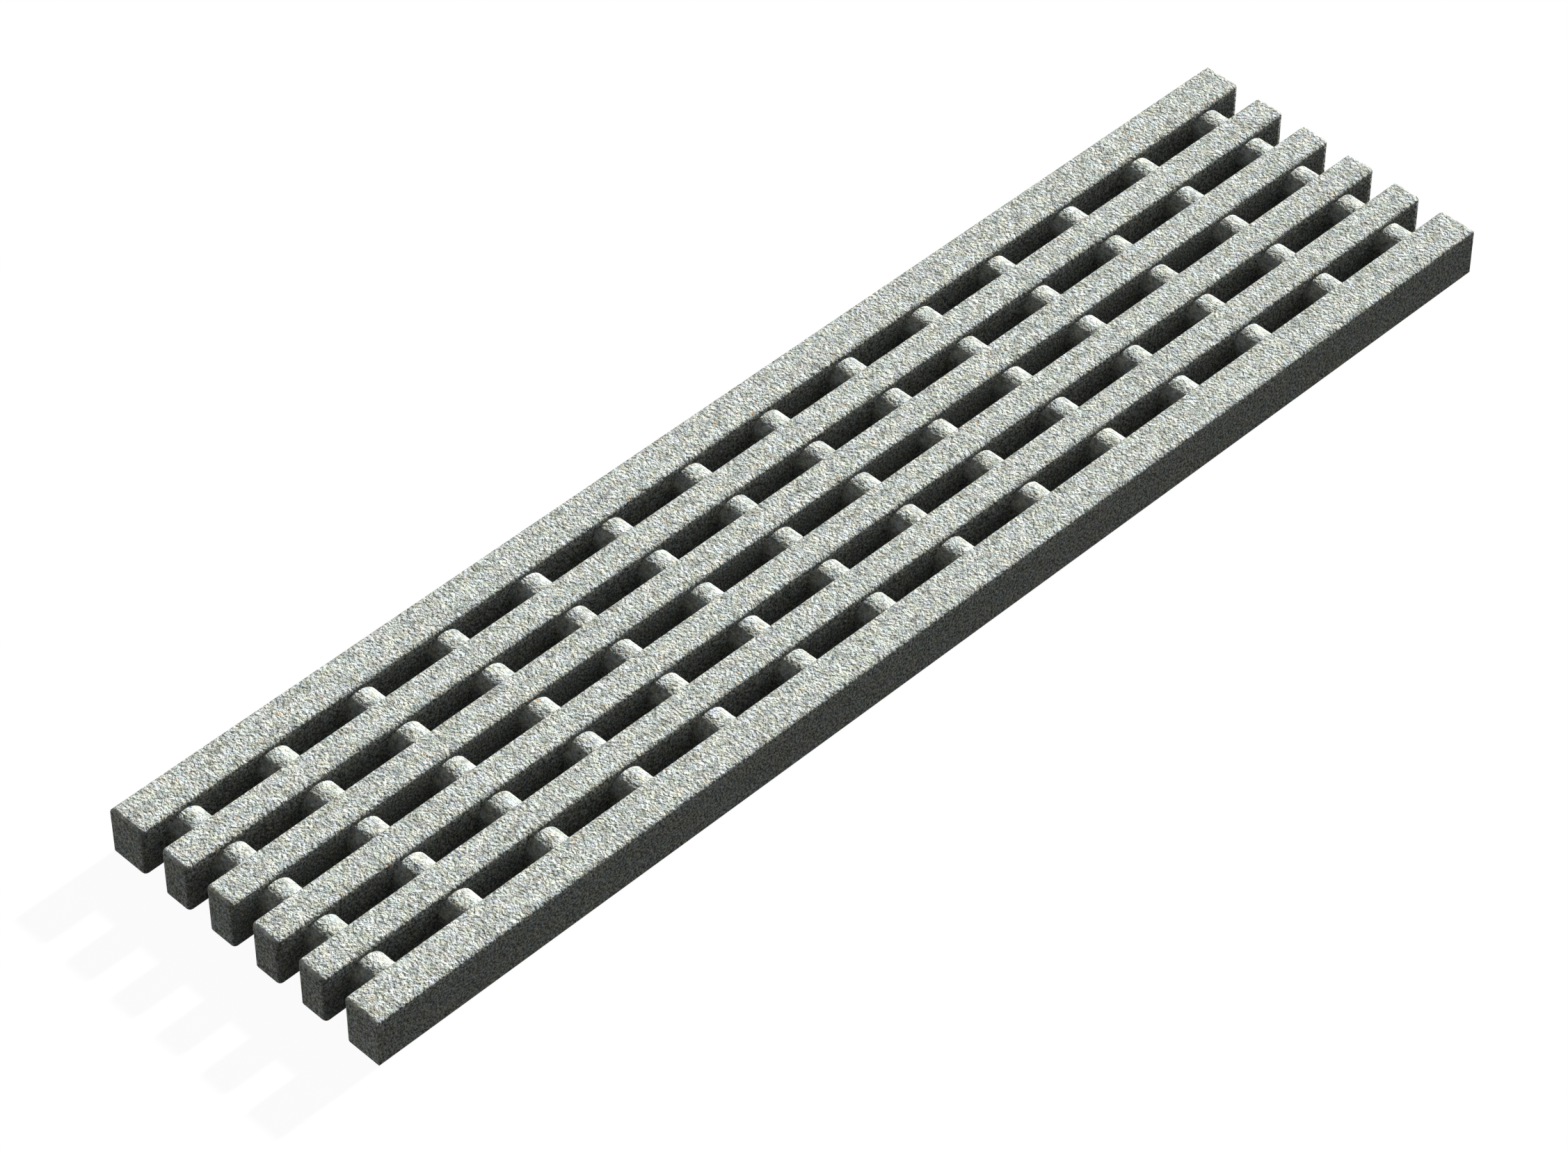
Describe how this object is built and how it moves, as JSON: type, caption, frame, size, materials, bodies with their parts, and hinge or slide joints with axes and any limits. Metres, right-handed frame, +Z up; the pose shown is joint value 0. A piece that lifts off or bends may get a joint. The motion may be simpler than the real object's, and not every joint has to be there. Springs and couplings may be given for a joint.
{
  "type": "drain grate",
  "caption": "Rectangular cast-stone drain grate: parallel bars along its length with rounded edges, tied by lower half-round ribs, with open slots for water.",
  "frame": {"origin": "centre of the flat underside", "axes": "+X along the bars, +Y across the bars, +Z up through the walking surface"},
  "size_m": [0.508, 0.1238, 0.0196],
  "materials": {
    "cast_stone": "moulded in one piece and grit-blasted, pale grey, matt, with its coarse grain bare"
  },
  "bodies": {
    "root": {"grate": "cast_stone"}
  },
  "joints": []
}
